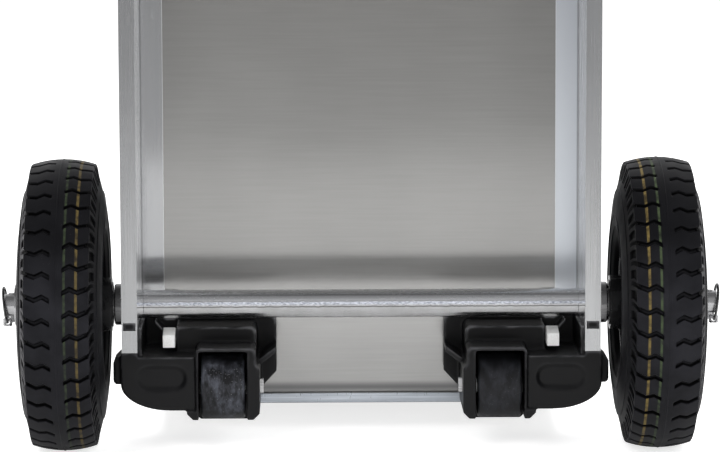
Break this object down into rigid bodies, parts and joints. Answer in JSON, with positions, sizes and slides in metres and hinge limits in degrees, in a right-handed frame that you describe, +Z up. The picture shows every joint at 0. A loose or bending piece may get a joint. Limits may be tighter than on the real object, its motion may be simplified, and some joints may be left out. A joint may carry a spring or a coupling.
{
  "type": "hand truck",
  "caption": "Aluminium hand truck: sheet back between deep rails, pneumatic wheels on a through axle, black brackets with heel rollers, sloping toe plate and loop handle.",
  "frame": {"origin": "on the floor, under the middle of the object's bounding box", "axes": "+X to the right seen from behind, where the handle is held; +Y forward over the toe plate; +Z up"},
  "size_m": [0.6406, 0.4452, 1.215],
  "materials": {
    "rail_aluminium": "extruded, satin mill finish with fine lengthwise lines",
    "panel_aluminium": "rolled sheet, fine upright brushing",
    "toe_aluminium": "rolled plate, scuffed mill finish",
    "axle_steel": "zinc plated, slightly streaked",
    "fastener_steel": "zinc plated",
    "hanger_steel": "cast bright zinc, speckled",
    "bracket_plastic": "glass-filled nylon, faint moulded grain, dusty",
    "tyre_rubber": "black rubber with moulded tread",
    "rim_paint": "black gloss paint",
    "roller_rubber": "scuffed dark blue-grey rubber",
    "roller_plastic": "moulded",
    "handle_aluminium": "satin drawn tube",
    "grip_rubber": "matt black, fine ribs",
    "cap_plastic": "moulded",
    "bearing_steel": "ground and polished",
    "spring_wire": "zinc plated spring wire",
    "tube_rubber": "smooth"
  },
  "bodies": {
    "frame": {"axle_bushes": "axle_steel", "axle_rod": "axle_steel", "axle_tube": "axle_steel", "back_panel": "panel_aluminium", "bearing_inner_rings": "bearing_steel", "handle_bolts": "fastener_steel", "handle_clamps": "cap_plastic", "handle_grip": "grip_rubber", "handle_tube": "handle_aluminium", "hub_washers": "fastener_steel", "left_axle_collar": "axle_steel", "left_bracket_hanger": "hanger_steel", "left_lynch_pin": "fastener_steel", "left_rail": "rail_aluminium", "left_roller_bracket": "bracket_plastic", "panel_rivets": "rail_aluminium", "rail_caps": "cap_plastic", "right_axle_collar": "axle_steel", "right_bracket_hanger": "hanger_steel", "right_lynch_pin": "fastener_steel", "right_rail": "rail_aluminium", "right_roller_bracket": "bracket_plastic", "roller_bolts": "fastener_steel", "roller_nuts": "fastener_steel", "roller_washers": "fastener_steel", "toe_plate": "toe_aluminium", "toe_plate_screws": "fastener_steel", "top_stiffener": "rail_aluminium"},
    "right_wheel": {"right_tyre": "tyre_rubber", "right_inner_tube": "tube_rubber", "right_rim_outer": "rim_paint", "right_rim_inner": "rim_paint", "right_rim_bolts": "fastener_steel", "right_rim_nuts": "fastener_steel", "right_valve_stem": "tube_rubber", "right_valve_cap": "cap_plastic", "right_hub": "rim_paint", "right_bearing_outer_rings": "bearing_steel", "right_bearing_balls": "bearing_steel"},
    "right_roller": {"right_roller_tread": "roller_rubber", "right_roller_core": "roller_plastic", "right_roller_bush": "bearing_steel"},
    "right_pin_ring_body": {"right_pin_ring": "spring_wire"},
    "left_wheel": {"left_tyre": "tyre_rubber", "left_inner_tube": "tube_rubber", "left_rim_outer": "rim_paint", "left_rim_inner": "rim_paint", "left_rim_bolts": "fastener_steel", "left_rim_nuts": "fastener_steel", "left_valve_stem": "tube_rubber", "left_valve_cap": "cap_plastic", "left_hub": "rim_paint", "left_bearing_outer_rings": "bearing_steel", "left_bearing_balls": "bearing_steel"},
    "left_roller": {"left_roller_tread": "roller_rubber", "left_roller_core": "roller_plastic", "left_roller_bush": "bearing_steel"},
    "left_pin_ring_body": {"left_pin_ring": "spring_wire"}
  },
  "joints": [
    {"name": "right_wheel_spin", "type": "hinge", "parent": "frame", "child": "right_wheel", "pos_m": [0.2643, -0.09258, 0.13], "axis": [1, 0, 0], "continuous": true},
    {"name": "right_roller_spin", "type": "hinge", "parent": "frame", "child": "right_roller", "pos_m": [0.1238, -0.08057, 0.054], "axis": [1, 0, 0], "continuous": true},
    {"name": "right_ring_swing", "type": "hinge", "parent": "frame", "child": "right_pin_ring_body", "pos_m": [0.31585, -0.09258, 0.1145], "axis": [0, 1, 0], "range_deg": [0, 165]},
    {"name": "left_wheel_spin", "type": "hinge", "parent": "frame", "child": "left_wheel", "pos_m": [-0.2643, -0.09258, 0.13], "axis": [1, 0, 0], "continuous": true},
    {"name": "left_roller_spin", "type": "hinge", "parent": "frame", "child": "left_roller", "pos_m": [-0.1238, -0.08057, 0.054], "axis": [1, 0, 0], "continuous": true},
    {"name": "left_ring_swing", "type": "hinge", "parent": "frame", "child": "left_pin_ring_body", "pos_m": [-0.31585, -0.09258, 0.1145], "axis": [0, -1, 0], "range_deg": [0, 165]}
  ]
}
